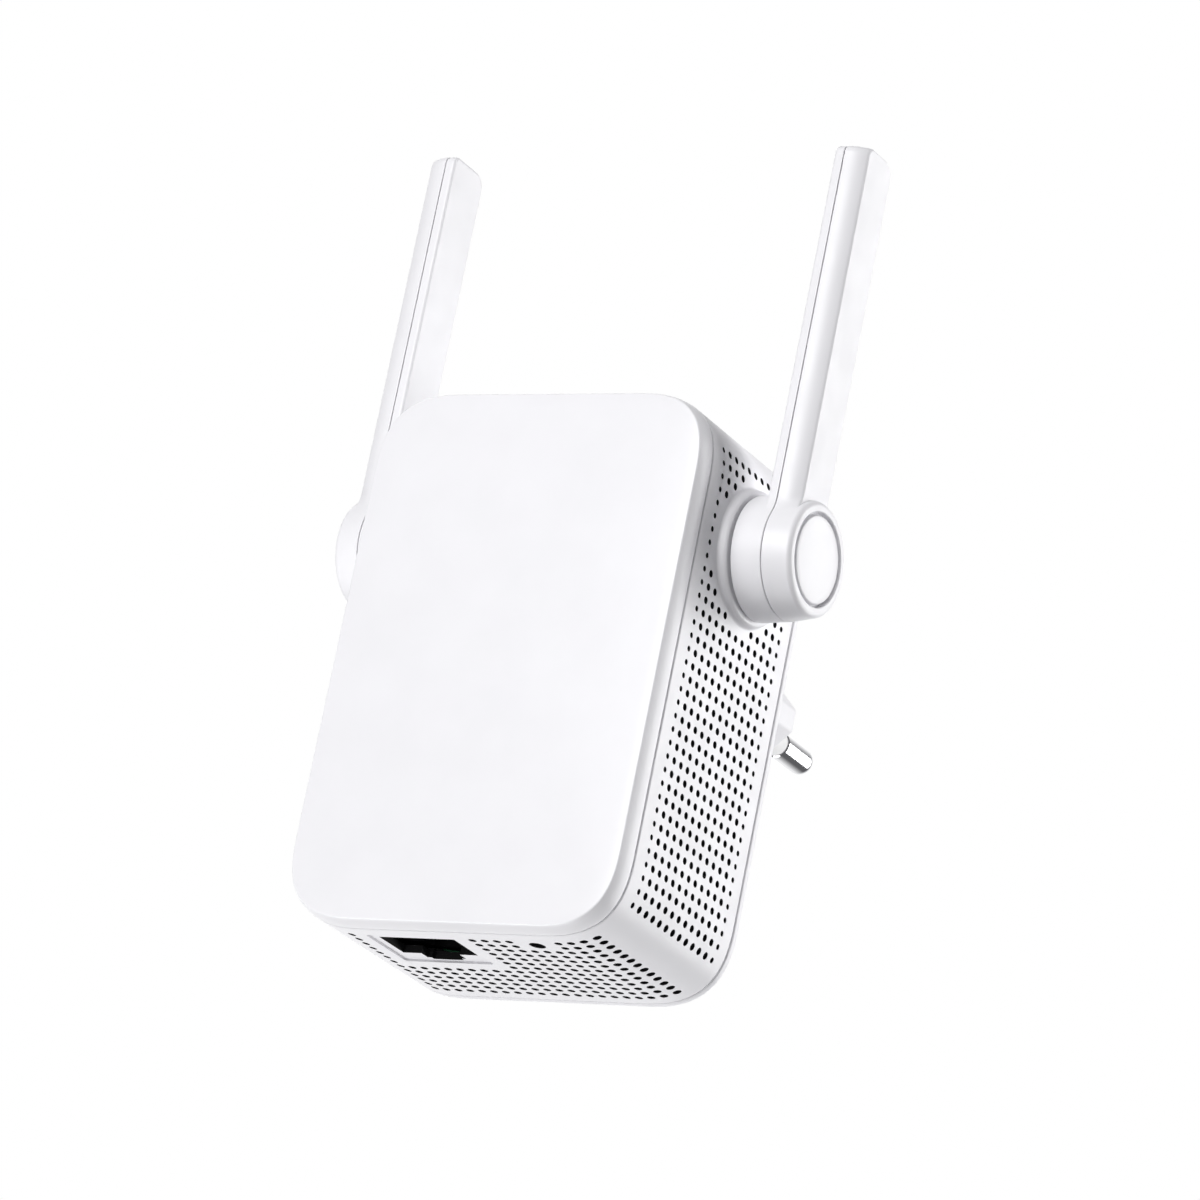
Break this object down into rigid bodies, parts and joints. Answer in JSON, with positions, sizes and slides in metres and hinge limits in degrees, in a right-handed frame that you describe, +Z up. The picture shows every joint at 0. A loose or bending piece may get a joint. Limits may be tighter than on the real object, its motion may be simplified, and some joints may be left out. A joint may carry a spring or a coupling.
{
  "type": "wifi range extender",
  "caption": "Plug-in wifi range extender: white perforated case with a mains plug on its back, swivelling blade aerials on its sides, and a network socket and reset hole underneath.",
  "frame": {"origin": "centre of the plug's seating face, midway between the two pins", "axes": "+Y into the wall socket along the pins, +Z up, +X to the viewer's right when the front cover is seen"},
  "size_m": [0.076, 0.0758, 0.1236],
  "materials": {
    "white_gloss": "gloss",
    "white_satin": "satin",
    "white_sleeve": "satin",
    "pin_chrome": "polished",
    "brass": "satin",
    "steel": "satin",
    "board_green": "satin",
    "black_plastic": "satin",
    "rubber": "matte",
    "tape_yellow": "satin",
    "dark_plastic": "satin",
    "cable_grey": "satin",
    "nylon": "satin"
  },
  "bodies": {
    "case": {"front_cover": "white_gloss", "middle_shell": "white_satin", "rear_cover": "white_satin", "plug_pin_left": "pin_chrome", "plug_pin_right": "pin_chrome", "pin_sleeve_left": "white_sleeve", "pin_sleeve_right": "white_sleeve", "pin_contact_left": "brass", "pin_contact_right": "brass", "main_board": "board_green", "main_board_screw_left_1": "steel", "main_board_screw_left_2": "steel", "main_board_screw_right_1": "steel", "main_board_screw_right_2": "steel", "rf_shield_can": "steel", "processor_chip": "black_plastic", "power_board": "board_green", "power_board_screw_1": "steel", "power_board_screw_2": "steel", "transformer": "tape_yellow", "mains_capacitor": "dark_plastic", "output_capacitor": "dark_plastic", "fuse": "nylon", "board_header": "black_plastic", "ethernet_jack": "black_plastic", "ethernet_contacts": "brass", "reset_switch": "dark_plastic", "coax_lead_left": "cable_grey", "coax_lead_right": "cable_grey", "coax_plug_left": "brass", "coax_plug_right": "brass", "aerial_left_washer": "rubber", "aerial_right_washer": "rubber"},
    "aerial_left": {"aerial_left_inner_shell": "white_satin", "aerial_left_outer_shell": "white_satin", "aerial_left_hub_cap": "white_gloss", "aerial_left_element": "brass", "aerial_left_spindle": "nylon", "aerial_left_retainer": "steel"},
    "aerial_right": {"aerial_right_inner_shell": "white_satin", "aerial_right_outer_shell": "white_satin", "aerial_right_hub_cap": "white_gloss", "aerial_right_element": "brass", "aerial_right_spindle": "nylon", "aerial_right_retainer": "steel"},
    "reset_button": {"reset_plunger": "nylon"}
  },
  "joints": [
    {"name": "aerial_left_swivel", "type": "hinge", "parent": "case", "child": "aerial_left", "pos_m": [-0.0336, -0.0374, 0.0111], "axis": [1, 0, 0], "range_deg": [0, 180]},
    {"name": "aerial_right_swivel", "type": "hinge", "parent": "case", "child": "aerial_right", "pos_m": [0.0336, -0.0374, 0.0111], "axis": [1, 0, 0], "range_deg": [0, 180]},
    {"name": "reset_press", "type": "slide", "parent": "case", "child": "reset_button", "axis": [0, 0, 1], "range_m": [0, 0.0004], "stiffness_N_per_m": 500, "springref_m": -0.0002}
  ]
}
